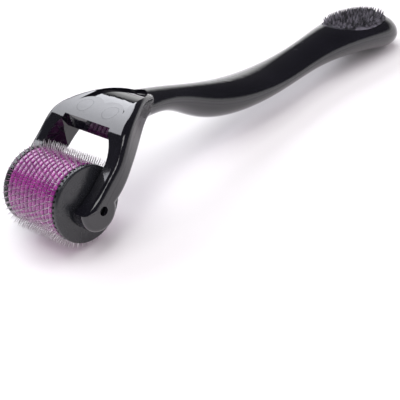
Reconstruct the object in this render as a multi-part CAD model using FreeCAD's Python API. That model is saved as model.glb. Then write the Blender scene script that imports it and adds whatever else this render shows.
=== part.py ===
import FreeCAD, Part
import math
import os

# A derma roller lying on a table: a needle roller in the fork of an S-shaped hollow handle.
# Millimetres. +Z is up, +X runs from the roller to the butt of the handle, +Y lies along the axle.
# The origin is under the middle of the object's box, on the table.

V = FreeCAD.Vector

# ---- driving sizes: roller ----
DRUM_R = 10.0            # radius of the flanges and of the spacer rings
NEEDLE_LENGTH = 2.0      # how far a needle stands out of the drum
NEEDLE_WIDTH = 0.34      # width of a needle at its root
DISC_THICKNESS = 0.3
DISC_COUNT = 12
NEEDLES_PER_DISC = 45
DRUM_LENGTH = 17.7       # between the inner faces of the flanges
FLANGE_RIM = 1.8         # height of a flange's cylindrical rim
FLANGE_DOME = 0.75       # how far the flange's middle stands out of its rim
FLANGE_EDGE = 0.5        # rounding of the flange's rim
DOME_BEND = (0.6, 0.62)  # the dome passes through these shares of the radius and of the dome's height
NEEDLE_WAIST = 0.55      # a needle narrows to this share of its width at this share of its length
RING_STEP = 0.15         # spacer rings are this much smaller than the needle disc's root circle
CORE_FLATS = 9.0         # across the flats of the hexagonal core
CORE_SOCKET = 1.2        # depth of the core's socket in each flange
AXLE_R = 1.15
AXLE_EDGE = 0.3          # chamfer on the stub axle's end
SHOULDER_R = 2.4         # thrust shoulder round each stub axle
SHOULDER_STEP = 0.3      # and how far it stands out of the dome

# ---- driving sizes: handle ----
BUTT_REACH = 129.5       # from the axle to the far end of the handle
NECK_REACH = 32.0        # from the axle to the neck, where the grip proper starts
TONGUE = 5.0             # the head closes to a point this far behind the neck
FORK_GAP = 5.5           # from the needle tips to the middle of the crossbar's front face
FORK_ANGLE = 43.0        # slope of the line from the axle to the crossbar, degrees
ARM_THICKNESS = 4.5
ARM_TIP_R = 5.2          # radius of the arm's round end
ARM_TIP_AHEAD = 0.8      # its centre lies this far ahead of the axle
NOTCH = 0.9              # the upper shell stands back from the arm's round end by this
ARM_ROUND = 1.7          # rounding of the head's upper outer edge
BACK_ROUND = 1.3         # and of its lower outer edge
BAR_EDGE = 3.6           # height of the crossbar's front face
WINDOW_INSET = 0.05      # at the crossbar the fork's window is this much narrower than the drum, each side
WINDOW_CORNER = 0.2      # the window narrows by this at the crossbar's face
BAR_MARGIN = 0.15        # the undercut behind the crossbar goes this far beyond the window's half width
WALL = 1.6               # wall of the hollow grip
PEG_R = 2.25             # pegs of the lower shell that show on the land
PEG_SPACING = 9.6
PEG_BACK = 4.4           # from the crossbar's face to the pegs
PEG_LEAN = -0.12         # forward lean of the pegs for each unit of height
DISH_DEPTH = 0.7
DIMPLE_R = 0.55
DIMPLE_PITCH = 1.8
DIMPLE_BACK = 11.2       # from the crossbar's face to the row of dimples
POST_R = 1.2             # hidden assembly posts inside the grip
POST_GRIP = 1.6          # how far the posts enter their sockets
POST_FLARE = 1.0         # their feet and sockets are this much thicker
PAD_LENGTH = 22.4
PAD_WIDTH = 16.0
PAD_THICKNESS = 1.4
PAD_SHARE = 0.868        # the pad's middle, as a share of the way from neck to butt
NUB_HEIGHT = 1.2
NUB_ROOT_R = 0.5
NUB_TIP_R = 0.16
NUB_SUNK = 0.3           # how deep a nub is rooted in the pad
NUB_PITCH = 1.75
NUB_ROW = 0.92           # rows are closer together than the nubs in a row
NUB_MARGIN = 0.9         # bare rim round the nubs
NUB_LEAN = 0.10          # nubs lean towards the butt
NUB_SPREAD = 0.055       # and outwards, for each millimetre from the middle

# ---- clearances ----
RUNNING_FIT = 0.05       # axle in its bore, radial
SEAT = 0.05              # core, pegs, posts and pad in their seats
SIDE_PLAY = 0.35         # thrust shoulder to the arm's inner face
LIP_TURN = math.radians(14)  # where the arm's round end meets the parting line
SEAM = 0.04              # between the two shells
AXLE_RECESS = 1.4        # the stub axle ends this far below the arm's outer face

# ---- sizes that follow ----
TIP_R = DRUM_R + NEEDLE_LENGTH
AXLE_X = -(BUTT_REACH - TIP_R) / 2
AXLE_Z = TIP_R
FLANGE_OUT = DRUM_LENGTH / 2 + FLANGE_RIM
SHOULDER_OUT = FLANGE_OUT + FLANGE_DOME + SHOULDER_STEP
ARM_IN = SHOULDER_OUT + SIDE_PLAY
ARM_OUT = ARM_IN + ARM_THICKNESS
WINDOW_HALF = DRUM_LENGTH / 2 - WINDOW_INSET  # half width of the window at the crossbar
BORE_R = AXLE_R + RUNNING_FIT
BAR_X = (TIP_R + FORK_GAP) * math.cos(math.radians(FORK_ANGLE))
BAR_Z = (TIP_R + FORK_GAP) * math.sin(math.radians(FORK_ANGLE))

BELOW = -5.0             # height where upright cutting outlines are drawn
SWEEP = 60.0             # and how far they are swept
MARGIN = 1.0             # cutting shapes go this far beyond what they cut
BEYOND_BUTT = 1.05       # share of the grip at which the parting surface ends, past the butt
SIDE_FACE = 0.3          # faces whose normals lean further to the side than this are not top or underside
END_FACE = 0.2           # faces whose normals rise less than this are not either
SHORT_EDGE = 1.0         # edges shorter than this along X are left sharp

# Outlines of the head are given from the middle of the crossbar's front face, those of the arms
# from the axle. Each pair is (distance along X, height).
ARM_TOP = [(0.0, 3.6), (4.0, 6.6), (8.0, 9.9)]
ARM_UNDER = [(8.0, 2.4), (12.0, 5.6)]
ARM_PARTING = [(4.0, 3.4), (8.6, 7.0)]
HEAD_TOP = [(0.5, 3.1), (5.5, 4.5), (10.5, 4.7), (15.5, 3.6), (20.5, 1.2), (26.0, -2.0)]
HEAD_UNDER = [(3.0, -4.0), (7.2, -2.2), (12.0, -1.2), (16.0, -1.9), (20.5, -3.9), (26.0, -6.0)]
PARTING = [(3.5, 0.6), (7.5, 1.4), (13.0, 1.3), (19.5, -0.7)]
# Crossbar's sloping underside, from its thin front edge backwards.
BAR_UNDER = [(-3.0, 2.6 - BAR_EDGE), (1.2, 2.7 - BAR_EDGE), (5.2, -4.0)]
# Half width of the head in plan, measured inwards from the arm's outer face.
HEAD_PLAN = [(-6.5, 0.0), (-2.5, -0.5), (1.5, -1.9), (5.5, -4.0), (9.5, -6.4), (13.5, -8.8), (17.5, -10.9)]
# The window's side: distance along X from the crossbar, and share of the way out to the arm's inner face.
WINDOW_SIDE = [(-6.5, 1.0), (-3.5, 0.685), (-1.2, 0.0)]
# Plan of the dish: distance along X from the crossbar, and half width.
DISH_FRONT = [(4.6, 8.5), (7.7, 4.8), (6.2, 0.0)]
DISH_BACK = [(8.8, 7.4), (16.6, 4.6), (20.0, 0.0)]
POST_SHARES = (0.30, 0.62, 0.79)
# Grip sections: share of the way from neck to butt, height above the table, half thickness, half width.
GRIP = [
    (-0.070, 24.7, 3.0, 7.6),
    (0.000, 23.0, 3.2, 6.0),
    (0.082, 20.3, 3.3, 5.0),
    (0.164, 16.2, 4.4, 5.6),
    (0.246, 12.9, 4.9, 7.0),
    (0.338, 10.8, 4.5, 7.8),
    (0.441, 9.6, 3.8, 7.7),
    (0.554, 9.2, 3.5, 7.0),
    (0.667, 9.2, 4.0, 7.0),
    (0.774, 8.7, 4.8, 8.6),
    (0.856, 7.5, 5.3, 9.9),
    (0.918, 5.9, 5.5, 10.2),
    (0.959, 4.9, 5.0, 9.0),
    (0.985, 4.4, 3.9, 6.2),
    (0.997, 4.2, 2.1, 3.0),
]
LEAD_IN = (-0.12, 25.2)  # the grip's middle line starts here, inside the head
CAVITY_FIRST = 3         # the hollow runs from this grip section
CAVITY_LAST = 13         # to the one before this


def at_axle(x, z):
    """Point in the middle plane, given from the axle."""
    return V(AXLE_X + x, 0, AXLE_Z + z)


def at_bar(x, z):
    """Point in the middle plane, given from the crossbar's front face."""
    return at_axle(BAR_X + x, BAR_Z + z)


def grip_point(share, height):
    """Point in the middle plane on the way from neck to butt."""
    return V(AXLE_X + NECK_REACH + share * (BUTT_REACH - NECK_REACH), 0, height)


def spline(points):
    """Smooth curve through the points."""
    curve = Part.BSplineCurve()
    curve.interpolate(points)
    return curve.toShape()


def line(a, b):
    return Part.LineSegment(a, b).toShape()


def cylinder_y(radius, y0, y1, x=0.0, z=0.0):
    """Round bar along Y, placed from the axle."""
    return Part.makeCylinder(radius, y1 - y0, at_axle(x, z) + V(0, y0, 0), V(0, 1, 0))


# ---- handle ----

def section_frames(sections):
    """Centre, along and across directions of each grip section."""
    centres = [grip_point(share, height) for share, height, _, _ in sections]
    path = spline([grip_point(*LEAD_IN)] + centres).Curve
    frames = []
    for centre in centres:
        along = path.tangent(path.parameter(centre))[0]
        frames.append((centre, along))
    return frames


def grip_body(inset, first, last):
    """Loft of the grip's elliptical sections, made smaller all round by inset."""
    wires = []
    for (centre, along), (_, _, half_t, half_w) in list(zip(section_frames(GRIP), GRIP))[first:last]:
        across = V(0, half_w - inset, 0)
        upwards = along.cross(V(0, 1, 0)) * (half_t - inset)
        ellipse = Part.Ellipse(centre + across, centre + upwards, centre)
        wires.append(Part.Wire(ellipse.toShape()))
    return Part.makeLoft(wires, True, False)


def head_side():
    """Side outline of the head, swept across the full width."""
    centre = at_axle(-ARM_TIP_AHEAD, 0)
    start = centre + V(ARM_TIP_R, 0, 0)
    bottom = centre - V(0, 0, ARM_TIP_R)
    lip = centre + V(-ARM_TIP_R * math.cos(LIP_TURN), 0, ARM_TIP_R * math.sin(LIP_TURN))
    notch = lip + V(NOTCH, 0, 0)
    front = [notch] + [at_axle(*p) for p in ARM_TOP] + [at_bar(*p) for p in HEAD_TOP]
    back = [start] + [at_axle(*p) for p in ARM_UNDER] + [at_bar(*p) for p in HEAD_UNDER]
    tip = Part.Arc(start, bottom, lip).toShape()
    edges = [tip, line(lip, notch), spline(front), line(front[-1], back[-1]), spline(back)]
    width = V(0, 2 * (ARM_OUT + MARGIN), 0)
    outline = Part.Wire(Part.__sortEdges__(edges))
    outline.translate(-width * 0.5)
    return Part.Face(outline).extrude(width)


def head_plan():
    """Plan outline of the head: two arms that close into a tongue inside the neck."""
    outer = [V(AXLE_X + BAR_X + x, ARM_OUT + dy, BELOW) for x, dy in HEAD_PLAN]
    tip = V(AXLE_X - 2 * ARM_TIP_R, ARM_OUT, BELOW)
    tongue = V(AXLE_X + NECK_REACH + TONGUE, 0, BELOW)
    side = [line(tip, outer[0]), spline(outer), line(outer[-1], tongue)]
    mirror = [edge.mirror(V(0, 0, 0), V(0, 1, 0)) for edge in side]
    close = [line(tip, V(tip.x, -tip.y, BELOW))]
    return Part.Face(Part.Wire(Part.__sortEdges__(side + mirror + close))).extrude(V(0, 0, SWEEP))


def fork_window():
    """Space between the arms, open at the front, rounded into the crossbar."""
    front = V(AXLE_X - 3 * ARM_TIP_R, ARM_IN, BELOW)
    face = AXLE_X + BAR_X
    wall = [V(face + x, WINDOW_HALF + share * (ARM_IN - WINDOW_HALF), BELOW) for x, share in WINDOW_SIDE]
    corner = V(face, WINDOW_HALF - WINDOW_CORNER, BELOW)
    side = [line(front, wall[0]), spline(wall), line(wall[-1], corner)]
    mirror = [edge.mirror(V(0, 0, 0), V(0, 1, 0)) for edge in side]
    close = [line(front, V(front.x, -front.y, BELOW)), line(corner, V(corner.x, -corner.y, BELOW))]
    return Part.Face(Part.Wire(Part.__sortEdges__(side + mirror + close))).extrude(V(0, 0, SWEEP))


def underside_relief():
    """Sloping undercut below and behind the crossbar's front face."""
    under = [at_bar(*p) for p in BAR_UNDER]
    low = [V(under[-1].x, 0, BELOW), V(under[0].x, 0, BELOW)]
    outline = Part.makePolygon(under + low + [under[0]])
    half = V(0, WINDOW_HALF + BAR_MARGIN, 0)
    outline.translate(-half)
    return Part.Face(outline).extrude(half * 2)


def outer_edges(solid, upper):
    """Edges where the head's sides meet its top, or its underside."""
    found = []
    for face in solid.Faces:
        u0, u1, v0, v1 = face.ParameterRange
        normal = face.normalAt((u0 + u1) / 2, (v0 + v1) / 2)
        if abs(normal.y) > SIDE_FACE or abs(normal.z) < END_FACE or (normal.z > 0) != upper:
            continue
        for edge in face.Edges:
            box = edge.BoundBox
            if box.YLength < ARM_OUT and box.XLength > SHORT_EDGE:
                found.append(edge)
    return found


def head_blank():
    """Head without its window, with its outer edges rounded."""
    solid = head_side().common(head_plan()).Solids[0]
    solid = solid.makeFillet(ARM_ROUND, outer_edges(solid, True))
    return solid.makeFillet(BACK_ROUND, outer_edges(solid, False))


def outer_body():
    """The handle's outer form as one solid."""
    head = head_blank().cut(fork_window()).cut(underside_relief())
    return head.fuse(grip_body(0, 0, len(GRIP))).Solids[0]


def above_parting(gap):
    """Everything above the parting surface, which passes through the axle, lifted by gap."""
    ahead = at_axle(-ARM_TIP_R * 3, ARM_TIP_R * math.sin(LIP_TURN))
    lip = at_axle(-ARM_TIP_AHEAD - ARM_TIP_R * math.cos(LIP_TURN) + NOTCH, ARM_TIP_R * math.sin(LIP_TURN))
    axle = at_axle(0, 0)
    head = [axle] + [at_axle(*p) for p in ARM_PARTING] + [at_bar(*p) for p in PARTING]
    grip = [grip_point(share, height) for share, height, _, _ in GRIP[2:]]
    beyond = grip_point(BEYOND_BUTT, GRIP[-1][1])
    top_back = V(beyond.x, 0, SWEEP)
    top_ahead = V(ahead.x, 0, SWEEP)
    edges = [line(ahead, lip), line(lip, axle), spline(head + grip + [beyond])]
    edges += [line(beyond, top_back), line(top_back, top_ahead), line(top_ahead, ahead)]
    outline = Part.Wire(Part.__sortEdges__(edges))
    outline.translate(V(0, -ARM_OUT - MARGIN, gap))
    return Part.Face(outline).extrude(V(0, 2 * (ARM_OUT + MARGIN), 0))


def axle_bores():
    """Bore through both arms."""
    return cylinder_y(BORE_R, -ARM_OUT - MARGIN, ARM_OUT + MARGIN)


def peg_axis(side):
    """Foot and direction of one of the two pegs behind the crossbar."""
    return at_bar(PEG_BACK, 0.0) + V(0, side * PEG_SPACING / 2, 0), V(PEG_LEAN, 0, 1)


def yoke_pegs(radius, outer):
    """The two pegs, cut off flush with the land."""
    pegs = []
    for side in (-1, 1):
        foot, up = peg_axis(side)
        pegs.append(Part.makeCylinder(radius, SWEEP, foot, up).common(outer))
    return pegs[0].fuse(pegs[1])


def post_places():
    """Places of the hidden posts along the grip."""
    return [grip_point(share, 0) for share in POST_SHARES]


def parting_height(x):
    """Height of the parting surface over a place on the grip."""
    column = Part.makeLine(V(x, 0, 0), V(x, 0, SWEEP))
    return column.common(above_parting(0)).BoundBox.ZMin


def post_sockets(outer):
    """Tubes that hang from the upper shell's roof."""
    tubes = []
    for place in post_places():
        seam = parting_height(place.x)
        tube = Part.makeCylinder(POST_R + SEAT + POST_FLARE, SWEEP, V(place.x, 0, seam + SEAM))
        hole = Part.makeCylinder(POST_R + SEAT, POST_GRIP + POST_FLARE / 2, V(place.x, 0, seam))
        tubes.append(tube.common(outer).cut(hole))
    return tubes


def posts(outer):
    """Posts that rise from the lower shell's floor into the sockets."""
    made = []
    for place in post_places():
        seam = parting_height(place.x)
        base = Part.makeCylinder(POST_R + POST_FLARE, seam, V(place.x, 0, 0)).common(outer)
        peg = Part.makeCylinder(POST_R, POST_GRIP + POST_FLARE, V(place.x, 0, seam - POST_FLARE))
        made.append(base.fuse(peg))
    return made


def sunk(outer, depth):
    """The outer form moved down, which makes the floor of a shallow recess."""
    floor = outer.copy()
    floor.translate(V(0, 0, -depth))
    return floor


def dish_cutter(outer):
    """Blade-shaped shallow dish on the land, scalloped round the two pegs."""
    front = [at_bar(x, 0) + V(0, y, 0) for x, y in DISH_FRONT]
    back = [at_bar(x, 0) + V(0, y, 0) for x, y in DISH_BACK]
    halves = [Part.Arc(*front).toShape(), line(front[0], back[0]), Part.Arc(*back).toShape()]
    halves += [edge.mirror(V(0, 0, 0), V(0, 1, 0)) for edge in halves]
    prism = Part.Face(Part.Wire(Part.__sortEdges__(halves))).extrude(V(0, 0, SWEEP))
    return prism.cut(sunk(outer, DISH_DEPTH))


def dimples():
    """Three small dimples in a row in the dish."""
    balls = []
    for step in (-1, 0, 1):
        place = at_bar(DIMPLE_BACK, HEAD_TOP[2][1] - DISH_DEPTH) + V(0, step * DIMPLE_PITCH, 0)
        balls.append(Part.makeSphere(DIMPLE_R, place))
    return balls[0].fuse(balls[1:])


def pad_centre():
    """Middle of the pad, inside the grip."""
    return grip_point(PAD_SHARE, AXLE_Z / 2)


def pad_prism(grow):
    """Upright oval column that the grip pad is cut from."""
    oval = Part.Ellipse(pad_centre(), PAD_LENGTH / 2 + grow, PAD_WIDTH / 2 + grow)
    return Part.Face(Part.Wire(oval.toShape())).extrude(V(0, 0, SWEEP))


def pad_pocket(outer):
    """Recess in the upper shell for the grip pad."""
    return pad_prism(SEAT).cut(sunk(outer, PAD_THICKNESS + SEAT))


def shells():
    """Upper and lower handle shells."""
    outer = outer_body()
    cavity = grip_body(WALL, CAVITY_FIRST, CAVITY_LAST)
    shape = outer.cut(cavity).cut(dish_cutter(outer)).cut(dimples()).cut(axle_bores())
    upper = shape.common(above_parting(SEAM / 2))
    upper = upper.fuse(post_sockets(outer)).cut(yoke_pegs(PEG_R + SEAT, outer)).cut(pad_pocket(outer))
    lower = shape.cut(above_parting(-SEAM / 2))
    lower = lower.fuse(posts(outer)).fuse(yoke_pegs(PEG_R, outer))
    return upper, lower, outer


def nub(place, normal):
    """One pointed nub of the grip pad, rooted in it."""
    return Part.makeCone(NUB_ROOT_R, NUB_TIP_R, NUB_HEIGHT + NUB_SUNK, place - normal * NUB_SUNK, normal)


def grip_pad(outer):
    """Soft oval pad with rows of pointed nubs."""
    pad = pad_prism(0).common(outer).cut(sunk(outer, PAD_THICKNESS))
    centre = pad_centre()
    nubs = []
    rows = int(PAD_WIDTH / 2 / NUB_PITCH)
    columns = int(PAD_LENGTH / 2 / NUB_PITCH)
    for row in range(-rows, rows + 1):
        for column in range(-columns, columns + 1):
            dx = (column + 0.5 * (row % 2)) * NUB_PITCH
            dy = row * NUB_PITCH * NUB_ROW
            along = dx / (PAD_LENGTH / 2 - NUB_MARGIN)
            across = dy / (PAD_WIDTH / 2 - NUB_MARGIN)
            if along ** 2 + across ** 2 > 1:
                continue
            column_line = Part.makeLine(centre + V(dx, dy, 0), centre + V(dx, dy, SWEEP))
            top = column_line.common(pad).BoundBox.ZMax
            normal = V(NUB_LEAN, dy * NUB_SPREAD, 1).normalize()
            nubs.append(nub(V(centre.x + dx, dy, top), normal))
    return pad.fuse(nubs)


# ---- roller ----

def hexagon(flats, length, y0):
    """Hexagonal bar along the axle."""
    radius = flats / 2 / math.cos(math.pi / 6)
    turns = [math.radians(60 * i) for i in range(7)]
    corners = [at_axle(radius * math.cos(t), radius * math.sin(t)) + V(0, y0, 0) for t in turns]
    return Part.Face(Part.makePolygon(corners)).extrude(V(0, length, 0))


def disc_places():
    """Where each needle disc starts along the axle."""
    step = (DRUM_LENGTH - DISC_THICKNESS) / (DISC_COUNT - 1)
    return [-DRUM_LENGTH / 2 + i * step for i in range(DISC_COUNT)]


def needle_disc(y0, turned):
    """Thin disc with pointed needles on its rim and a keyed hole."""
    root = DRUM_R - SEAT
    waist = root + NEEDLE_WAIST * NEEDLE_LENGTH
    half = NEEDLE_WIDTH / 2 / root
    corners = []
    for i in range(NEEDLES_PER_DISC):
        middle = 2 * math.pi * (i + 0.5 * turned) / NEEDLES_PER_DISC - math.pi / 2
        corners += [(middle - half, root), (middle - half * NEEDLE_WAIST, waist), (middle, TIP_R)]
        corners += [(middle + half * NEEDLE_WAIST, waist), (middle + half, root)]
    points = [at_axle(r * math.cos(t), r * math.sin(t)) + V(0, y0, 0) for t, r in corners]
    disc = Part.Face(Part.makePolygon(points + [points[0]])).extrude(V(0, DISC_THICKNESS, 0))
    return disc.cut(hexagon(CORE_FLATS + 2 * SEAT, DISC_THICKNESS + 2 * MARGIN, y0 - MARGIN))


def spacer_ring(y0, y1):
    """Translucent ring between two needle discs."""
    ring = cylinder_y(DRUM_R - RING_STEP, y0, y1)
    return ring.cut(hexagon(CORE_FLATS + 2 * SEAT, DRUM_LENGTH + 2 * MARGIN, -DRUM_LENGTH / 2 - MARGIN))


def roller_core():
    """Keyed bar that carries the discs and rings."""
    half = DRUM_LENGTH / 2 + CORE_SOCKET - SEAT
    return hexagon(CORE_FLATS, 2 * half, -half)


def end_flange(side):
    """Domed end flange with its thrust shoulder and stub axle."""
    inner = DRUM_LENGTH / 2
    rim = FLANGE_OUT
    crown = FLANGE_OUT + FLANGE_DOME
    stub = ARM_OUT - AXLE_RECESS

    def at(radius, y):
        return at_axle(0, radius) + V(0, y, 0)

    inset = FLANGE_EDGE * (1 - math.cos(math.pi / 4))
    outside = at(DRUM_R, rim - FLANGE_EDGE)
    corner = at(DRUM_R - inset, rim - inset)
    inside = at(DRUM_R - FLANGE_EDGE, rim)
    bend = at(DRUM_R * DOME_BEND[0], rim + FLANGE_DOME * DOME_BEND[1])
    edges = [
        line(at(0, inner), at(DRUM_R, inner)),
        line(at(DRUM_R, inner), outside),
        Part.Arc(outside, corner, inside).toShape(),
        Part.Arc(inside, bend, at(SHOULDER_R, crown)).toShape(),
        line(at(SHOULDER_R, crown), at(SHOULDER_R, SHOULDER_OUT)),
        line(at(SHOULDER_R, SHOULDER_OUT), at(AXLE_R, SHOULDER_OUT)),
        line(at(AXLE_R, SHOULDER_OUT), at(AXLE_R, stub - AXLE_EDGE)),
        line(at(AXLE_R, stub - AXLE_EDGE), at(AXLE_R - AXLE_EDGE, stub)),
        line(at(AXLE_R - AXLE_EDGE, stub), at(0, stub)),
        line(at(0, stub), at(0, inner)),
    ]
    flange = Part.Face(Part.Wire(edges)).revolve(at_axle(0, 0), V(0, 1, 0), 360)
    flange = flange.cut(hexagon(CORE_FLATS + 2 * SEAT, CORE_SOCKET, inner))
    return flange if side > 0 else flange.mirror(V(0, 0, 0), V(0, 1, 0))


def all_nodes():
    """Every node of the object, by name."""
    upper, lower, outer = shells()
    nodes = {"handle_upper_shell": upper, "handle_lower_shell": lower, "grip_pad": grip_pad(outer)}
    places = disc_places()
    for i, y0 in enumerate(places):
        nodes["needle_disc_%02d" % (i + 1)] = needle_disc(y0, i % 2)
    for i, y0 in enumerate(places[:-1]):
        nodes["spacer_ring_%02d" % (i + 1)] = spacer_ring(y0 + DISC_THICKNESS, places[i + 1])
    nodes["roller_core"] = roller_core()
    nodes["end_flange_left"] = end_flange(1)
    nodes["end_flange_right"] = end_flange(-1)
    return nodes


def main():
    os.makedirs("parts", exist_ok=True)
    for name, shape in all_nodes().items():
        print(name, len(shape.Solids), shape.isValid(), round(shape.Volume, 1))
        shape.exportStep("parts/%s.step" % name)


if __name__ == "__main__":
    main()
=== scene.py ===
"""The looks of a derma roller: a magenta drum of needle discs in the fork of a black S-shaped handle.

Metres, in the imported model's own frame: +X runs from the roller to the butt of the handle, +Y lies
along the axle and +Z is up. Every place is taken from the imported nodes, so a piece follows its node.
"""

import logging
import math
from dataclasses import dataclass
from enum import Enum

import bmesh
import bpy
from mathutils import Matrix, Vector
from mathutils.bvhtree import BVHTree


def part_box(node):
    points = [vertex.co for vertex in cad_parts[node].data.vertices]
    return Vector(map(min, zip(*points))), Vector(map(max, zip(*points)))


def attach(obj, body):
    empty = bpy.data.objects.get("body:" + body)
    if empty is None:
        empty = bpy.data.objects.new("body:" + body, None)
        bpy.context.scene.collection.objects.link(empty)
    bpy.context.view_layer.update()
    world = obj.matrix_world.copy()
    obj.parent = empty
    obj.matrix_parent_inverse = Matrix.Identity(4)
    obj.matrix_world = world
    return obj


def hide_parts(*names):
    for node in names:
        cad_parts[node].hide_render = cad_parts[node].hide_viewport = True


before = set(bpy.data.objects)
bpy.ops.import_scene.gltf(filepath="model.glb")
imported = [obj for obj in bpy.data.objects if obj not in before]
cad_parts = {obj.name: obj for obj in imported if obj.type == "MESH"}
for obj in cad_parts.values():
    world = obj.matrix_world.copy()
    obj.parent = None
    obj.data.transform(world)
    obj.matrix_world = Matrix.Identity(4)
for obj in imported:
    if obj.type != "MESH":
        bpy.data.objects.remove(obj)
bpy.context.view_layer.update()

LOG = logging.getLogger("derma_roller")
MM = 0.001
WELD = MM / 10000  # points closer than this are one point
BORE_FLATS = 9.1 * MM  # across the flats of the hexagonal holes and sockets
ON_RIM = 0.99  # share of a radius beyond which a point or face belongs to the rim


class Body(Enum):
    """The two bodies of the model."""

    HANDLE = "handle"
    ROLLER = "roller"


class Slot(Enum):
    """The record's material slots."""

    SHELL = "black_shell"
    FLANGE = "black_flange"
    PAD = "soft_pad"
    RING = "magenta_ring"
    CORE = "core_plastic"
    STEEL = "needle_steel"


class Side(Enum):
    """The two ends of the axle."""

    LEFT = 1
    RIGHT = -1


# ---- mesh tools ----


def turned_about(along: Vector) -> Matrix:
    """Rotation that takes +Z to a direction.

    Args:
        along: the direction that the local Z axis takes.

    Returns:
        A 4x4 rotation.
    """
    return along.to_track_quat("Z", "Y").to_matrix().to_4x4()


def put_in_order(bm: bmesh.types.BMesh) -> None:
    """Sorts points by place, and edges and faces by their points.

    An extrusion leaves edges and faces in an order that changes from run to run. The shape is the
    same, but the written mesh would not be.

    Args:
        bm: the finished mesh.
    """
    for rank, vert in enumerate(sorted(bm.verts, key=lambda v: v.co[:])):
        vert.index = rank
    bm.verts.sort()
    for sequence in (bm.edges, bm.faces):
        in_order = sorted(sequence, key=lambda item: sorted(v.index for v in item.verts))
        for rank, item in enumerate(in_order):
            item.index = rank
        sequence.sort()


def piece_from(
    bm: bmesh.types.BMesh, name: str, material: bpy.types.Material, smooth_below: float = 35.0
) -> bpy.types.Object:
    """Closes a bmesh into an object at the origin.

    Args:
        bm: the finished mesh, which is freed.
        name: the piece's name.
        material: its finish.
        smooth_below: edges that turn less than this, in degrees, are shaded smooth.

    Returns:
        The new object, linked to the scene.
    """
    bmesh.ops.remove_doubles(bm, verts=bm.verts, dist=WELD)
    bmesh.ops.recalc_face_normals(bm, faces=bm.faces)
    for face in bm.faces:
        face.smooth = True
    limit = math.radians(smooth_below)
    for edge in bm.edges:
        edge.smooth = edge.calc_face_angle(0.0) < limit
    put_in_order(bm)
    mesh = bpy.data.meshes.new(name)
    bm.to_mesh(mesh)
    bm.free()
    mesh.materials.append(material)
    piece = bpy.data.objects.new(name, mesh)
    bpy.context.scene.collection.objects.link(piece)
    return piece


def register(piece: bpy.types.Object, body: Body, slot: Slot, *nodes: str) -> bpy.types.Object:
    """Ties a piece to its body and hides the nodes that it stands for.

    Args:
        piece: the finished piece.
        body: the body that it rides on.
        slot: not used.
        nodes: the nodes that it replaces.

    Returns:
        The same piece.
    """
    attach(piece, body.value)
    if nodes:
        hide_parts(*nodes)
    LOG.info("%s: %d faces on %s", piece.name, len(piece.data.polygons), body.value)
    return piece


def ring_of(
    bm: bmesh.types.BMesh, radius: float, height: float, corners: int, cuts: int = 0
) -> list[bmesh.types.BMEdge]:
    """Closed loop of edges round the Z axis.

    Args:
        bm: the mesh that it is added to.
        radius: from the axis to the corners.
        height: the loop's place along Z.
        corners: the number of corners.
        cuts: extra points on each side.

    Returns:
        The loop's edges.
    """
    raised = Matrix.Translation((0, 0, height))
    made = bmesh.ops.create_circle(bm, segments=corners, radius=radius, matrix=raised)
    edges = list(dict.fromkeys(edge for vert in made["verts"] for edge in vert.link_edges))
    if cuts:
        split = bmesh.ops.subdivide_edges(bm, edges=edges, cuts=cuts)
        parts = [item for item in split["geom"] if isinstance(item, bmesh.types.BMEdge)]
        edges = list(dict.fromkeys(parts + [edge for edge in edges if edge.is_valid]))
    return edges


def spun(bm: bmesh.types.BMesh, profile: list[tuple[float, float]], steps: int) -> list[bmesh.types.BMEdge]:
    """Turns a profile round the Z axis.

    Args:
        bm: the mesh that it is added to.
        profile: (radius, height) pairs; a radius of zero lies on the axis.
        steps: faces round the axis.

    Returns:
        The edges that are left open.
    """
    verts = [bm.verts.new((radius, 0.0, height)) for radius, height in profile]
    edges = [bm.edges.new(pair) for pair in zip(verts, verts[1:])]
    bmesh.ops.spin(
        bm, geom=verts + edges, cent=(0, 0, 0), axis=(0, 0, 1), angle=2 * math.pi, steps=steps, use_merge=True
    )
    bmesh.ops.remove_doubles(bm, verts=bm.verts, dist=WELD)
    return [edge for edge in bm.edges if edge.is_boundary]


def along_axle(bm: bmesh.types.BMesh, place: Vector, side: Side = Side.LEFT) -> None:
    """Lays a mesh made round +Z along the axle, with its height pointing outwards.

    Args:
        bm: the mesh.
        place: the point of the axle where height is zero.
        side: which way height points.
    """
    turn = Matrix.Rotation(-side.value * math.pi / 2, 4, "X")
    bmesh.ops.transform(bm, matrix=Matrix.Translation(place) @ turn, verts=bm.verts)


# ---- finishes ----


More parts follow.
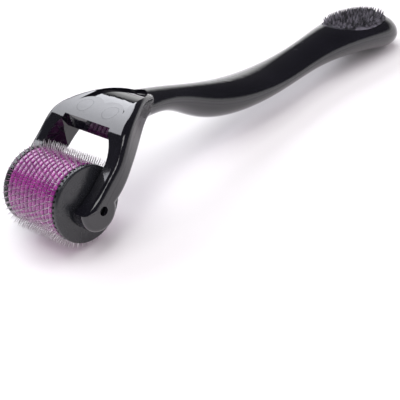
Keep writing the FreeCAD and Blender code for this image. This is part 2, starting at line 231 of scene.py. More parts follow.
class Wiring:
    """A node tree that is being wired up."""

    def __init__(self, tree: bpy.types.NodeTree) -> None:
        """Starts on a tree."""
        self.tree = tree

    def add(self, kind: str, **values: object) -> bpy.types.Node:
        """Adds a node.

        Args:
            kind: the node's type.
            values: its properties, or its input sockets by name with spaces as underscores.

        Returns:
            The new node.
        """
        node = self.tree.nodes.new(kind)
        for key, value in values.items():
            socket = node.inputs.get(key.replace("_", " "))
            if socket is not None:
                socket.default_value = value
            else:
                setattr(node, key, value)
        return node

    def link(self, source: bpy.types.NodeSocket, target: bpy.types.NodeSocket) -> None:
        """Joins two sockets."""
        self.tree.links.new(source, target)

    def math(
        self, operation: str, first: bpy.types.NodeSocket, second: float | bpy.types.NodeSocket
    ) -> bpy.types.NodeSocket:
        """Adds a Math node.

        Args:
            operation: the node's operation.
            first: its first input.
            second: its second, a socket or a number.

        Returns:
            The node's output.
        """
        node = self.add("ShaderNodeMath", operation=operation)
        self.link(first, node.inputs[0])
        if isinstance(second, float):
            node.inputs[1].default_value = second
        else:
            self.link(second, node.inputs[1])
        return node.outputs[0]

    def ramp(
        self, source: bpy.types.NodeSocket, stops: list[tuple[float, tuple[float, float, float, float]]]
    ) -> bpy.types.NodeSocket:
        """Adds a colour ramp.

        Args:
            source: the value that drives it.
            stops: (position, colour) pairs.

        Returns:
            The ramp's colour.
        """
        node = self.add("ShaderNodeValToRGB")
        elements = node.color_ramp.elements
        while len(elements) < len(stops):
            elements.new(0.5)
        for element, (position, colour) in zip(elements, stops):
            element.position = position
            element.color = colour
        self.link(source, node.inputs[0])
        return node.outputs["Color"]


def group(
    name: str, inputs: dict[str, float], outputs: list[str]
) -> tuple[bpy.types.NodeTree, Wiring, bpy.types.Node, bpy.types.Node]:
    """Starts a shader node group.

    Args:
        name: the group's name.
        inputs: its value inputs with their defaults; a vector input named Place is always first.
        outputs: its value outputs.

    Returns:
        The tree, its wiring, its input node and its output node.
    """
    tree = bpy.data.node_groups.new(name, "ShaderNodeTree")
    tree.interface.new_socket("Place", in_out="INPUT", socket_type="NodeSocketVector")
    for key, value in inputs.items():
        tree.interface.new_socket(key, in_out="INPUT", socket_type="NodeSocketFloat").default_value = value
    for key in outputs:
        tree.interface.new_socket(key, in_out="OUTPUT", socket_type="NodeSocketFloat")
    wiring = Wiring(tree)
    return tree, wiring, wiring.add("NodeGroupInput"), wiring.add("NodeGroupOutput")


def handling_group() -> bpy.types.NodeTree:
    """Finger smears, hair scratches and the faint waviness of a gloss moulding.

    Returns:
        A group with Place, Gloss, Smear, Scratch and Wave inputs, and Roughness and Height outputs.
    """
    tree, w, source, sink = group(
        "handling", {"Gloss": 0.1, "Smear": 0.1, "Scratch": 0.1, "Wave": 0.1}, ["Roughness", "Height"]
    )
    smear = w.add("ShaderNodeTexNoise", Scale=90.0, Detail=4.0, Roughness=0.62, Distortion=0.6)
    stretch = w.add("ShaderNodeMapping")
    stretch.inputs["Scale"].default_value = (1800.0, 240.0, 900.0)
    stretch.inputs["Rotation"].default_value = (0.2, 0.4, 0.6)
    hair = w.add("ShaderNodeTexNoise", Scale=1.0, Detail=1.0)
    wave = w.add("ShaderNodeTexNoise", Scale=140.0, Detail=1.0)
    for node in (smear, stretch, wave):
        w.link(source.outputs["Place"], node.inputs["Vector"])
    w.link(stretch.outputs[0], hair.inputs["Vector"])
    smear_mask = w.ramp(smear.outputs[0], [(0.42, (0, 0, 0, 1)), (0.72, (1, 1, 1, 1))])
    hair_mask = w.ramp(hair.outputs[0], [(0.66, (0, 0, 0, 1)), (0.72, (1, 1, 1, 1))])
    rough = w.math("MULTIPLY", smear_mask, source.outputs["Smear"])
    rough = w.math("ADD", rough, source.outputs["Gloss"])
    scratch = w.math("MULTIPLY", hair_mask, source.outputs["Scratch"])
    rough = w.math("ADD", rough, scratch)
    height = w.math("MULTIPLY", wave.outputs[0], source.outputs["Wave"])
    height = w.math("SUBTRACT", height, w.math("MULTIPLY", scratch, 0.3))
    w.link(rough, sink.inputs["Roughness"])
    w.link(height, sink.inputs["Height"])
    return tree


def grain_group() -> bpy.types.NodeTree:
    """Fine even grain of a satin moulding.

    Returns:
        A group with Place, Pitch and Depth inputs, and Mask and Height outputs.
    """
    tree, w, source, sink = group("grain", {"Pitch": 2200.0, "Depth": 0.5}, ["Mask", "Height"])
    fine = w.add("ShaderNodeTexNoise", Detail=3.0, Roughness=0.55)
    cells = w.add("ShaderNodeTexVoronoi", feature="F1")
    for node in (fine, cells):
        w.link(source.outputs["Place"], node.inputs["Vector"])
        w.link(source.outputs["Pitch"], node.inputs["Scale"])
    both = w.math("MULTIPLY", fine.outputs[0], cells.outputs["Distance"])
    w.link(both, sink.inputs["Mask"])
    w.link(w.math("MULTIPLY", both, source.outputs["Depth"]), sink.inputs["Height"])
    return tree


@dataclass(frozen=True)
class Groups:
    """The node groups that several finishes share."""

    handling: bpy.types.NodeTree
    grain: bpy.types.NodeTree


@dataclass(frozen=True)
class Finish:
    """A material: a name, a base colour and the plain numbers of its shader."""

    name: str
    colour: tuple[float, float, float]
    metallic: float = 0.0
    roughness: float = 0.2
    ior: float = 1.5
    coat: float = 0.0
    coat_roughness: float = 0.03
    transmission: float = 0.0
    bump: float = 0.1
    bump_distance: float = 0.02 * MM

    def start(self) -> tuple[bpy.types.Material, Wiring, bpy.types.Node, bpy.types.NodeSocket]:
        """Makes the material with its plain numbers set.

        Returns:
            The material, its wiring, its shader and the object coordinates.
        """
        material = bpy.data.materials.new(self.name)
        material.use_nodes = True
        material.diffuse_color = (*self.colour, 1.0)
        w = Wiring(material.node_tree)
        shader = material.node_tree.nodes["Principled BSDF"]
        numbers = {
            "Base Color": (*self.colour, 1.0),
            "Metallic": self.metallic,
            "Roughness": self.roughness,
            "IOR": self.ior,
            "Coat Weight": self.coat,
            "Coat Roughness": self.coat_roughness,
            "Transmission Weight": self.transmission,
        }
        for key, value in numbers.items():
            shader.inputs[key].default_value = value
        place = w.add("ShaderNodeTexCoord").outputs["Object"]
        return material, w, shader, place

    def raise_from(self, w: Wiring, shader: bpy.types.Node, height: bpy.types.NodeSocket) -> None:
        """Feeds a height to the shader's normal through a bump.

        Args:
            w: the material's wiring.
            shader: the material's shader.
            height: the height.
        """
        bump = w.add("ShaderNodeBump", Strength=self.bump, Distance=self.bump_distance)
        w.link(height, bump.inputs["Height"])
        w.link(bump.outputs["Normal"], shader.inputs["Normal"])

    def build(self, groups: Groups) -> bpy.types.Material:
        """Makes the material; each kind of finish has its own way."""
        raise NotImplementedError


@dataclass(frozen=True)
class GlossShell(Finish):
    """High-gloss black moulding of the two handle shells."""

    smear: float = 0.03
    scratch: float = 0.012
    wave: float = 0.2

    def build(self, groups: Groups) -> bpy.types.Material:
        """Adds smears, hair scratches and a faint warm-to-cool drift to the black.

        Args:
            groups: the shared node groups.

        Returns:
            The material.
        """
        material, w, shader, place = self.start()
        marks = w.add(
            "ShaderNodeGroup",
            node_tree=groups.handling,
            Gloss=self.roughness,
            Smear=self.smear,
            Scratch=self.scratch,
            Wave=self.wave,
        )
        w.link(place, marks.inputs["Place"])
        w.link(marks.outputs["Roughness"], shader.inputs["Roughness"])
        self.raise_from(w, shader, marks.outputs["Height"])
        drift = w.add("ShaderNodeTexNoise", Scale=60.0, Detail=2.0)
        w.link(place, drift.inputs["Vector"])
        red, green, blue = self.colour
        warm = (red * 0.8, green * 0.8, blue * 0.9, 1.0)
        cool = (red * 1.3, green * 1.25, blue * 1.4, 1.0)
        stops = [(0.35, warm), (0.7, cool)]
        w.link(w.ramp(drift.outputs[0], stops), shader.inputs["Base Color"])
        return material


@dataclass(frozen=True)
class TurnedPlastic(Finish):
    """Satin moulding with the faint circles that a turned mould leaves round the axle."""

    pitch: float = 5200.0
    smear: float = 0.08

    def build(self, groups: Groups) -> bpy.types.Material:
        """Adds the circles round the axle and a few smears.

        Args:
            groups: the shared node groups.

        Returns:
            The material.
        """
        material, w, shader, place = self.start()
        axle = axle_point()
        centre = w.add("ShaderNodeMapping")
        centre.inputs["Location"].default_value = (-axle.x, 0.0, -axle.z)
        w.link(place, centre.inputs["Vector"])
        flat = w.add("ShaderNodeVectorMath", operation="MULTIPLY")
        w.link(centre.outputs[0], flat.inputs[0])
        flat.inputs[1].default_value = (1.0, 0.0, 1.0)
        radius = w.add("ShaderNodeVectorMath", operation="LENGTH")
        w.link(flat.outputs[0], radius.inputs[0])
        circles = w.math("SINE", w.math("MULTIPLY", radius.outputs["Value"], self.pitch), 0.0)
        marks = w.add(
            "ShaderNodeGroup",
            node_tree=groups.handling,
            Gloss=self.roughness,
            Smear=self.smear,
            Scratch=0.05,
            Wave=0.3,
        )
        w.link(place, marks.inputs["Place"])
        w.link(marks.outputs["Roughness"], shader.inputs["Roughness"])
        height = w.math("ADD", marks.outputs["Height"], w.math("MULTIPLY", circles, 0.25))
        self.raise_from(w, shader, height)
        return material


@dataclass(frozen=True)
class SoftRubber(Finish):
    """Satin rubber of the grip pad, with paler patches painted in as sheen."""

    # painted sheen: the paler tone of the patches, standing in for light reflected off the rubber
    sheen_tone: tuple[float, float, float] = (0.13, 0.125, 0.15)

    def build(self, groups: Groups) -> bpy.types.Material:
        """Adds the grain and the paler patches of painted sheen.

        Args:
            groups: the shared node groups.

        Returns:
            The material.
        """
        material, w, shader, place = self.start()
        grain = w.add("ShaderNodeGroup", node_tree=groups.grain, Pitch=3000.0, Depth=1.0)
        w.link(place, grain.inputs["Place"])
        self.raise_from(w, shader, grain.outputs["Height"])
        # Painted sheen: noise patches in a paler tone stand in for light reflected off the rubber.
        sheen_patches = w.add("ShaderNodeTexNoise", Scale=480.0, Detail=3.0)
        w.link(place, sheen_patches.inputs["Vector"])
        stops = [(0.44, (*self.colour, 1.0)), (0.62, (*self.sheen_tone, 1.0))]
        w.link(w.ramp(sheen_patches.outputs[0], stops), shader.inputs["Base Color"])
        rough = w.math("ADD", w.math("MULTIPLY", grain.outputs["Mask"], 0.3), self.roughness)
        w.link(rough, shader.inputs["Roughness"])
        return material


@dataclass(frozen=True)
class TintedPlastic(Finish):
    """Clear magenta moulding, its tint deeper in random clouds."""

    deep: tuple[float, float, float] = (0.16, 0.01, 0.14)
    smear: float = 0.06

    def build(self, groups: Groups) -> bpy.types.Material:
        """Adds flow clouds in the tint and light handling marks.

        Args:
            groups: the shared node groups.

        Returns:
            The material.
        """
        material, w, shader, place = self.start()
        clouds = w.add("ShaderNodeTexNoise", Scale=420.0, Detail=3.0, Distortion=0.8)
        w.link(place, clouds.inputs["Vector"])
        stops = [(0.35, (*self.deep, 1.0)), (0.65, (*self.colour, 1.0))]
        w.link(w.ramp(clouds.outputs[0], stops), shader.inputs["Base Color"])
        marks = w.add(
            "ShaderNodeGroup",
            node_tree=groups.handling,
            Gloss=self.roughness,
            Smear=self.smear,
            Scratch=0.08,
            Wave=0.6,
        )
        w.link(place, marks.inputs["Place"])
        w.link(marks.outputs["Roughness"], shader.inputs["Roughness"])
        self.raise_from(w, shader, marks.outputs["Height"])
        return material


@dataclass(frozen=True)
class EtchedSteel(Finish):
    """Bright stainless sheet, etched and polished."""

    tarnish: tuple[float, float, float] = (0.64, 0.62, 0.63)

    def build(self, groups: Groups) -> bpy.types.Material:
        """Adds the etched grain and a slight change of brightness.

        Args:
            groups: the shared node groups.

        Returns:
            The material.
        """
        material, w, shader, place = self.start()
        grain = w.add("ShaderNodeGroup", node_tree=groups.grain, Pitch=6000.0, Depth=0.6)
        w.link(place, grain.inputs["Place"])
        self.raise_from(w, shader, grain.outputs["Height"])
        patches = w.add("ShaderNodeTexNoise", Scale=900.0, Detail=2.0)
        w.link(place, patches.inputs["Vector"])
        stops = [(0.4, (*self.tarnish, 1.0)), (0.6, (*self.colour, 1.0))]
        w.link(w.ramp(patches.outputs[0], stops), shader.inputs["Base Color"])
        rough = w.math("ADD", w.math("MULTIPLY", grain.outputs["Mask"], 0.25), self.roughness)
        w.link(rough, shader.inputs["Roughness"])
        return material


FINISHES: dict[Slot, Finish] = {
    Slot.SHELL: GlossShell(
        "gloss_black", (0.006, 0.006, 0.008), roughness=0.05, ior=1.57, coat=0.5, bump=0.03
    ),
    Slot.FLANGE: TurnedPlastic("satin_black", (0.014, 0.015, 0.018), roughness=0.24, ior=1.58, bump=0.12),
    Slot.PAD: SoftRubber("soft_rubber", (0.018, 0.018, 0.022), roughness=0.42, bump=0.4),
    Slot.RING: TintedPlastic(
        "clear_magenta", (0.33, 0.042, 0.27), roughness=0.16, coat=0.6, transmission=0.1
    ),
    Slot.CORE: TintedPlastic("solid_magenta", (0.34, 0.03, 0.26), roughness=0.3),
    Slot.STEEL: EtchedSteel("bright_steel", (0.80, 0.78, 0.79), metallic=1.0, roughness=0.38, bump=0.2),
}


# ---- places ----


def axle_point() -> Vector:
    """The middle of the axle, from the box of an end flange."""
    low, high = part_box("end_flange_left")
    return Vector(((low.x + high.x) / 2, 0.0, (low.z + high.z) / 2))


# ---- roller ----


@dataclass
class NeedleDisc:
    """Thin etched disc with flat pointed needles on its rim and a hexagonal hole."""

    number: int
    needles: int = 45
    root_radius: float = 9.65 * MM
    tip_share: float = 0.12
    waist_share: float = 0.80
    waist_at: float = 0.6
    faces_per_needle: int = 6
    sheet: float = 0.16 * MM

    @property
    def node(self) -> str:
        """The node that this disc stands for."""
        return f"needle_disc_{self.number:02d}"

    def build(self, material: bpy.types.Material) -> bpy.types.Object:
        """Makes the washer, then pulls each needle out of its rim.

        Args:
            material: the disc's finish.

        Returns:
            The piece.
        """
        low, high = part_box(self.node)
        thickness = self.sheet
        length = (high.z - low.z) / 2 - self.root_radius
        count = self.needles * self.faces_per_needle
        bm = bmesh.new()
        rim = ring_of(bm, self.root_radius, 0.0, count)
        hole = ring_of(bm, BORE_FLATS / math.sqrt(3), 0.0, 6, count // 6 - 1)
        bmesh.ops.bridge_loops(bm, edges=rim + hole)
        sheet = bmesh.ops.extrude_face_region(bm, geom=bm.faces[:])
        lifted = [item for item in sheet["geom"] if isinstance(item, bmesh.types.BMVert)]
        bmesh.ops.translate(bm, vec=(0, 0, thickness), verts=lifted)
        self.pull_needles(bm, thickness, length)
        start = Vector((axle_point().x, (low.y + high.y - thickness) / 2, axle_point().z))
        along_axle(bm, start)
        turn = Matrix.Rotation(math.pi * (self.number % 2) / self.needles, 4, "Y")
        bmesh.ops.rotate(bm, cent=start, matrix=turn, verts=bm.verts)
        return piece_from(bm, f"disc_{self.number:02d}_needles", material)

    def pull_needles(self, bm: bmesh.types.BMesh, thickness: float, length: float) -> None:
        """Draws one rim face in every few out into a pointed needle, in two steps.

        Args:
            bm: the washer, which lies across the Z axis.
            thickness: the washer's thickness.
            length: from the rim to a needle's point.
        """
        bm.faces.ensure_lookup_table()
        near_rim = self.root_radius * ON_RIM
        rim = [f for f in bm.faces if f.calc_center_median().xy.length > near_rim]
        rim = [f for f in rim if abs(f.calc_center_median().z - thickness / 2) < thickness / 4]
        rim.sort(key=lambda f: math.atan2(f.calc_center_median().y, f.calc_center_median().x))
        roots = rim[:: self.faces_per_needle]
        steps = ((self.waist_share, self.waist_at), (self.tip_share / self.waist_share, 1 - self.waist_at))
        for share, reach in steps:
            drawn = bmesh.ops.extrude_discrete_faces(bm, faces=roots)["faces"]
            for face in drawn:
                centre = face.calc_center_median()
                outward = Vector((centre.x, centre.y, 0.0)).normalized()
                about = Matrix.Translation(-centre)
                bmesh.ops.scale(bm, vec=(share, share, share), space=about, verts=face.verts)
                bmesh.ops.translate(bm, vec=outward * length * reach, verts=face.verts)
            roots = drawn


@dataclass
class SpacerRing:
    """Clear tinted ring between two needle discs, with softened edges."""

    number: int
    radius: float = 9.92 * MM
    edge: float = 0.12 * MM
    reach: float = 0.06 * MM
    steps: int = 96

    @property
    def node(self) -> str:
        """The node that this ring stands for."""
        return f"spacer_ring_{self.number:02d}"

    def build(self, material: bpy.types.Material) -> bpy.types.Object:
        """Makes a washer with a hexagonal hole, thickens it and rounds its rim.

        Args:
            material: the ring's finish.

        Returns:
            The piece.
        """
        low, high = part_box(self.node)
        width = high.y - low.y + 2 * self.reach
        bm = bmesh.new()
        rim = ring_of(bm, self.radius, 0.0, self.steps)
        hole = ring_of(bm, BORE_FLATS / math.sqrt(3), 0.0, 6, self.steps // 6 - 1)
        bmesh.ops.bridge_loops(bm, edges=rim + hole)
        sheet = bmesh.ops.extrude_face_region(bm, geom=bm.faces[:])
        lifted = [item for item in sheet["geom"] if isinstance(item, bmesh.types.BMVert)]
        bmesh.ops.translate(bm, vec=(0, 0, width), verts=lifted)
        outer = [
            e
            for e in bm.edges
            if all(v.co.xy.length > self.radius * ON_RIM for v in e.verts)
            and abs(e.verts[0].co.z - e.verts[1].co.z) < width / 2
        ]
        bmesh.ops.bevel(
            bm,
            geom=outer,
            offset=self.edge,
            offset_type="OFFSET",
            segments=2,
            profile=0.5,
            affect="EDGES",
            material=-1,
        )
        along_axle(bm, Vector((axle_point().x, low.y - self.reach, axle_point().z)))
        return piece_from(bm, f"ring_{self.number:02d}_clear", material, smooth_below=50.0)


@dataclass
class EndFlange:
    """Domed end of the drum with slots in its rim, a thrust shoulder, a stub axle and a hexagonal socket."""

    side: Side
    radius: float = 10.0 * MM
    rim: float = 1.8 * MM
    dome: float = 0.75 * MM
    shoulder_radius: float = 2.4 * MM
    shoulder: float = 0.3 * MM
    axle_radius: float = 1.15 * MM
    socket_depth: float = 1.2 * MM
    slot_from: float = 0.15 * MM
    slot_to: float = 0.85 * MM
    slot_depth: float = 0.35 * MM
    slot_frame: float = 0.06 * MM
    inner_radius: float = 5.6 * MM
    inner_edge: float = 0.1 * MM
    round_off: float = 0.45 * MM
    round_steps: int = 3
    ease: float = 0.08 * MM
    chamfer: float = 0.3 * MM
    steps: int = 90
    dome_steps: int = 8

    @property
    def node(self) -> str:
        """The node that this flange stands for."""
        return f"end_flange_{self.side.name.lower()}"

    def profile(self, length: float) -> list[tuple[float, float]]:
        """Half section from the socket's edge round to the axle's end.

        Args:
            length: from the inner face to the end of the stub axle.

        Returns:
            (radius, height) pairs.
        """
        points = [(self.inner_radius, 0.0), (self.radius - self.inner_edge, 0.0)]
        points += [(self.radius, self.slot_from), (self.radius, self.slot_to)]
        for i in range(self.round_steps + 1):
            turn = math.pi / 2 * i / self.round_steps
            across = self.radius - self.round_off * (1 - math.cos(turn))
            points.append((across, self.rim - self.round_off * (1 - math.sin(turn))))
        inner = self.shoulder_radius
        outer = self.radius - self.round_off
        for i in range(1, self.dome_steps + 1):
            share = i / self.dome_steps
            rise = self.dome * math.sin(share * math.pi / 2)
            points.append((outer + (inner - outer) * share, self.rim + rise))
        top = self.rim + self.dome + self.shoulder
        points += [(inner, top - self.ease), (inner - self.ease, top), (self.axle_radius, top)]
        points += [(self.axle_radius, length - self.chamfer), (self.axle_radius - self.chamfer, length)]
        points.append((0.0, length))
        return points

    def build(self, material: bpy.types.Material) -> bpy.types.Object:
        """Turns the section, cuts the rim's slots, then sinks the hexagonal socket into the inner face.

        Args:
            material: the flange's finish.

        Returns:
            The piece.
        """
        low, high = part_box(self.node)
        inner = low.y if self.side is Side.LEFT else high.y
        bm = bmesh.new()
        open_edge = spun(bm, self.profile(high.y - low.y), self.steps)
        self.cut_slots(bm)
        hexagon = ring_of(bm, BORE_FLATS / math.sqrt(3), 0.0, 6, self.steps // 6 - 1)
        bmesh.ops.bridge_loops(bm, edges=open_edge + hexagon)
        mouth = [e for e in bm.edges if e.is_boundary]
        wall = bmesh.ops.extrude_edge_only(bm, edges=mouth)["geom"]
        floor = [item for item in wall if isinstance(item, bmesh.types.BMVert)]
        bmesh.ops.translate(bm, vec=(0, 0, self.socket_depth), verts=floor)
        bmesh.ops.holes_fill(bm, edges=[e for e in bm.edges if e.is_boundary], sides=0)
        along_axle(bm, Vector((axle_point().x, inner, axle_point().z)), self.side)
        return piece_from(bm, f"flange_{self.side.name.lower()}_domed", material, smooth_below=32.0)

    def cut_slots(self, bm: bmesh.types.BMesh) -> None:
        """Sinks every other face of the rim's inner band, which leaves a toothed edge beside the drum.

        Args:
            bm: the turned flange, which lies across the Z axis.
        """
        middle = (self.slot_from + self.slot_to) / 2
        band = [f for f in bm.faces if abs(f.calc_center_median().z - middle) < MM / 100]
        band = [f for f in band if f.calc_center_median().xy.length > self.radius * ON_RIM]
        band.sort(key=lambda f: math.atan2(f.calc_center_median().y, f.calc_center_median().x))
        slots = band[::2]
        bmesh.ops.inset_individual(bm, faces=slots, thickness=self.slot_frame, use_even_offset=True)
        for face in bmesh.ops.extrude_discrete_faces(bm, faces=slots)["faces"]:
            centre = face.calc_center_median()
            inward = -Vector((centre.x, centre.y, 0.0)).normalized()
            bmesh.ops.translate(bm, vec=inward * self.slot_depth, verts=face.verts)


@dataclass
class DrumCore:
    """Hexagonal bar inside the drum that keys the discs and rings together."""

    flats: float = 9.0 * MM
    edge: float = 0.2 * MM
    node: str = "roller_core"

    def build(self, material: bpy.types.Material) -> bpy.types.Object:
        """Makes the bar with eased edges.

        Args:
            material: the bar's finish.

        Returns:
            The piece.
        """
        low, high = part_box(self.node)
        bm = bmesh.new()
        radius = self.flats / math.sqrt(3)
        length = high.y - low.y
        bmesh.ops.create_cone(
            bm,
            cap_ends=True,
            segments=6,
            radius1=radius,
            radius2=radius,
            depth=length,
            matrix=Matrix.Translation((0, 0, length / 2)),
        )
        bmesh.ops.bevel(
            bm,
            geom=bm.edges[:],
            offset=self.edge,
            offset_type="OFFSET",
            segments=2,
            profile=0.5,
            affect="EDGES",
            material=-1,
        )
        along_axle(bm, Vector((axle_point().x, low.y, axle_point().z)))
        return piece_from(bm, "core_keyed", material)


@dataclass
class Roller:
    """The drum: flanges, needle discs, spacer rings and the core that keys them."""

    discs: int = 12

    def build(self, finish: dict[Slot, bpy.types.Material]) -> None:
        """Makes every piece of the drum and rides it on the roller.

        Args:
            finish: the materials by slot.
        """
        for number in range(1, self.discs + 1):
            disc = NeedleDisc(number)
            register(disc.build(finish[Slot.STEEL]), Body.ROLLER, Slot.STEEL, disc.node)
        for number in range(1, self.discs):
            ring = SpacerRing(number)
            register(ring.build(finish[Slot.RING]), Body.ROLLER, Slot.RING, ring.node)
        for side in Side:
            flange = EndFlange(side)
            register(flange.build(finish[Slot.FLANGE]), Body.ROLLER, Slot.FLANGE, flange.node)
        core = DrumCore()
        register(core.build(finish[Slot.CORE]), Body.ROLLER, Slot.CORE, core.node)


# ---- handle ----


@dataclass
class GripPad:
    """Soft oval pad in the butt of the handle, with rows of pointed nubs."""

    thickness: float = 1.4 * MM
    seat: float = 0.05 * MM
    rings: int = 6
    first_ring: float = 0.025
    other_rings: float = 0.17
    skirt: float = 0.985
    rim_drop: float = 0.2 * MM
    base_gap: float = 0.25 * MM
    start_above: float = 5 * MM
    points: int = 64
    bare_rim: float = 0.9 * MM
    nub_root: float = 0.2 * MM
    nub_pitch: float = 1.5 * MM
    nub_row: float = 0.9
    nub_height: float = 1.4 * MM
    nub_radius: float = 0.44 * MM
    nub_tip: float = 0.1 * MM
    nub_sides: int = 7
    node: str = "grip_pad"

    @property
    def half(self) -> Vector:
        """Half length and half width of the pad, from its node's box."""
        low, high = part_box(self.node)
        return ((high - low) / 2).to_2d()

    def pocket(self) -> BVHTree:
        """The upper shell's surface, whose pocket floor carries the pad."""
        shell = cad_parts["handle_upper_shell"].data
        return BVHTree.FromPolygons([v.co for v in shell.vertices], [p.vertices for p in shell.polygons])

    def floor_under(self, tree: BVHTree, spot: Vector) -> tuple[Vector, Vector]:
        """Point and normal of the pocket's floor under a spot.

        Args:
            tree: the shell's surface.
            spot: a point above the pad.

        Returns:
            The floor point and its upward normal.
        """
        place, normal, _, _ = tree.ray_cast(spot, Vector((0, 0, -1)))
        return place, normal if normal.z > 0 else -normal

    def build(self, material: bpy.types.Material) -> bpy.types.Object:
        """Drapes the oval over the pocket, gives it thickness and sets the nubs on it.

        Args:
            material: the pad's finish.

        Returns:
            The piece.
        """
        low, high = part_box(self.node)
        centre = Vector(((low.x + high.x) / 2, 0.0, high.z + self.start_above))
        tree = self.pocket()
        bm = bmesh.new()
        half = self.half
        bmesh.ops.create_circle(bm, segments=self.points, radius=1.0, cap_ends=True)
        for ring in range(self.rings):
            faces = [max(bm.faces, key=lambda f: len(f.verts))]
            step = self.first_ring if ring == 0 else self.other_rings
            bmesh.ops.inset_region(bm, faces=faces, thickness=step, use_even_offset=False)
        last = max(bm.faces, key=lambda f: len(f.verts))
        bmesh.ops.poke(bm, faces=[last])
        for vert in bm.verts:
            at_rim = vert.co.xy.length > ON_RIM
            x, y = vert.co.x * half.x * self.skirt, vert.co.y * half.y * self.skirt
            spot, _ = self.floor_under(tree, centre + Vector((x, y, 0)))
            drop = self.rim_drop if at_rim else 0.0
            vert.co = spot + Vector((0, 0, self.thickness + self.seat - drop))
        under = bmesh.ops.extrude_face_region(bm, geom=bm.faces[:])["geom"]
        sunk = [item for item in under if isinstance(item, bmesh.types.BMVert)]
        bmesh.ops.translate(bm, vec=(0, 0, -self.thickness + self.base_gap), verts=sunk)
        self.set_nubs(bm, tree, centre)
        return piece_from(bm, "pad_nubbed", material, smooth_below=60.0)

    def set_nubs(self, bm: bmesh.types.BMesh, tree: BVHTree, centre: Vector) -> None:
        """Stands rows of tapered nubs on the pad, every other row moved by half a pitch.

        Args:
            bm: the pad.
            tree: the shell's surface.
            centre: a point above the pad's middle.
        """
        room = self.half - Vector((self.bare_rim, self.bare_rim))
        columns = int(room.x / self.nub_pitch)
        rows = int(room.y / self.nub_pitch / self.nub_row)
        for row in range(-rows, rows + 1):
            for column in range(-columns, columns + 1):
                x = (column + 0.5 * (row % 2)) * self.nub_pitch
                y = row * self.nub_pitch * self.nub_row
                if (x / room.x) ** 2 + (y / room.y) ** 2 > 1:
                    continue
                spot, normal = self.floor_under(tree, centre + Vector((x, y, 0)))
                foot = spot + Vector((0, 0, self.thickness + self.seat - self.nub_root))
                height = self.nub_height + self.nub_root
                bmesh.ops.create_cone(
                    bm,
                    cap_ends=True,
                    segments=self.nub_sides,
                    radius1=self.nub_radius,
                    radius2=self.nub_tip,
                    depth=height,
                    matrix=Matrix.Translation(foot + normal * height / 2) @ turned_about(normal),
                )


@dataclass
class Handle:
    """The two moulded shells, which keep their own forms, and the pad in the butt."""

    shells: tuple[str, ...] = ("handle_upper_shell", "handle_lower_shell")

    def build(self, finish: dict[Slot, bpy.types.Material]) -> None:
        """Dresses the shells and makes the pad.

        Args:
            finish: the materials by slot.
        """
        for name in self.shells:
            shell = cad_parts[name]
            for slot in shell.material_slots:
                slot.material = finish[Slot.SHELL]
            LOG.info("%s: dressed", name)
        pad = GripPad()
        register(pad.build(finish[Slot.PAD]), Body.HANDLE, Slot.PAD, pad.node)


# ---- studio ----


@dataclass(frozen=True)
class Lamp:
    """A square or oblong soft light that faces a point."""

    name: str
    place: tuple[float, float, float]
    width: float
    height: float
    power: float
    colour: tuple[float, float, float] = (1.0, 1.0, 1.0)
    mirrored: bool = True

    def hang(self, target: Vector) -> None:
        """Puts the light in the scene.

        Args:
            target: the point that it faces.
        """
        light = bpy.data.lights.new(self.name, "AREA")
        light.shape = "RECTANGLE"
        light.size = self.width
        light.size_y = self.height
        light.energy = self.power
        light.color = self.colour
        lamp = bpy.data.objects.new(self.name, light)
        here = target + Vector(self.place)
        lamp.matrix_world = Matrix.Translation(here) @ turned_about(here - target)
        lamp.visible_glossy = self.mirrored
        bpy.context.scene.collection.objects.link(lamp)


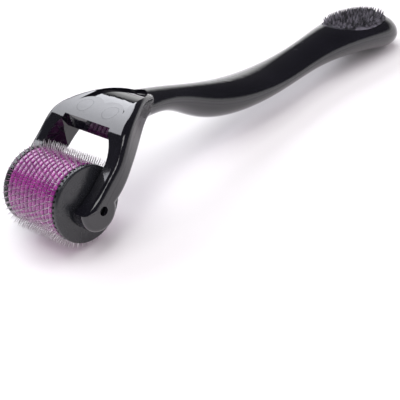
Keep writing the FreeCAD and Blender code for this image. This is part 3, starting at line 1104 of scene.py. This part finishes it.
@dataclass(frozen=True)
class Studio:
    """White table, soft lights and the camera."""

    aim: tuple[float, float, float] = (25.95 * MM, -22.0 * MM, -9.0 * MM)
    distance: float = 0.330
    azimuth: float = math.radians(-40.20)
    elevation: float = math.radians(30.32)
    roll: float = math.radians(-10.19)
    lens: float = 117.0
    floor_size: float = 6.0
    floor_colour: tuple[float, float, float, float] = (0.88, 0.88, 0.88, 1.0)
    surround: tuple[tuple[float, float], ...] = ((0.0, 1.1), (0.12, 1.0), (0.30, 0.06), (1.0, 0.03))
    lamps: tuple[Lamp, ...] = (
        Lamp("back_softbox", (0.16, 0.72, 0.56), 1.02, 0.48, 5.6, (0.93, 0.94, 1.0)),
        Lamp("overhead_softbox", (-0.35, -0.35, 0.95), 0.40, 0.40, 1.6),
        Lamp("high_fill", (0.1, 0.0, 1.6), 1.3, 1.3, 14.0, mirrored=False),
        Lamp("front_fill", (-0.9, -0.9, 0.9), 1.3, 1.3, 9.0, (1.0, 0.92, 0.98), mirrored=False),
        Lamp("right_fill", (0.9, -0.7, 0.7), 1.0, 1.0, 8.0, (1.0, 0.88, 0.97), mirrored=False),
        Lamp("left_fill", (-0.9, 0.7, 0.6), 1.0, 1.0, 4.0, (1.0, 0.84, 0.96), mirrored=False),
    )

    def build(self) -> None:
        """Makes the floor, the light and the camera."""
        self.lay_floor()
        self.light()
        self.stand_camera()

    def lay_floor(self) -> None:
        """Lays a plain white table top under the object."""
        material = bpy.data.materials.new("table_white")
        material.use_nodes = True
        shader = material.node_tree.nodes["Principled BSDF"]
        shader.inputs["Base Color"].default_value = self.floor_colour
        shader.inputs["Roughness"].default_value = 0.6
        bm = bmesh.new()
        bmesh.ops.create_grid(bm, x_segments=2, y_segments=2, size=self.floor_size / 2)
        floor = piece_from(bm, "table", material)

    def light(self) -> None:
        """Sets a surround that is pale at the horizon and dark overhead, and hangs the lamps."""
        world = bpy.data.worlds.new("surround")
        bpy.context.scene.world = world
        world.use_nodes = True
        w = Wiring(world.node_tree)
        split = w.add("ShaderNodeSeparateXYZ")
        w.link(w.add("ShaderNodeTexCoord").outputs["Generated"], split.inputs[0])
        stops = [(height, (grey, grey, grey, 1.0)) for height, grey in self.surround]
        w.link(w.ramp(split.outputs["Z"], stops), world.node_tree.nodes["Background"].inputs["Color"])
        bpy.context.scene.view_settings.view_transform = "Standard"
        for lamp in self.lamps:
            lamp.hang(axle_point())

    def stand_camera(self) -> None:
        """Stands the camera in front of the roller, to the right and above."""
        a, e = self.azimuth, self.elevation
        back = Vector((math.sin(a) * math.cos(e), -math.cos(a) * math.cos(e), math.sin(e)))
        level = Vector((math.cos(a), math.sin(a), 0.0))
        upright = back.cross(level)
        right = level * math.cos(self.roll) + upright * math.sin(self.roll)
        up = upright * math.cos(self.roll) - level * math.sin(self.roll)
        place = axle_point() + Vector(self.aim) + back * self.distance
        data = bpy.data.cameras.new("camera")
        data.lens = self.lens
        data.sensor_width = 36.0
        data.clip_start = 0.01
        camera = bpy.data.objects.new("camera", data)
        camera.matrix_world = Matrix.Translation(place) @ Matrix((right, up, back)).transposed().to_4x4()
        bpy.context.scene.collection.objects.link(camera)
        bpy.context.scene.camera = camera


def main() -> None:
    """Builds the finishes, the roller, the handle and the studio, and logs each new piece's face count."""
    logging.basicConfig(level=logging.INFO, format="%(name)s %(message)s")
    groups = Groups(handling_group(), grain_group())
    finish = {slot: recipe.build(groups) for slot, recipe in FINISHES.items()}
    Studio().build()
    Roller().build(finish)
    Handle().build(finish)


if __name__ == "__main__":
    main()
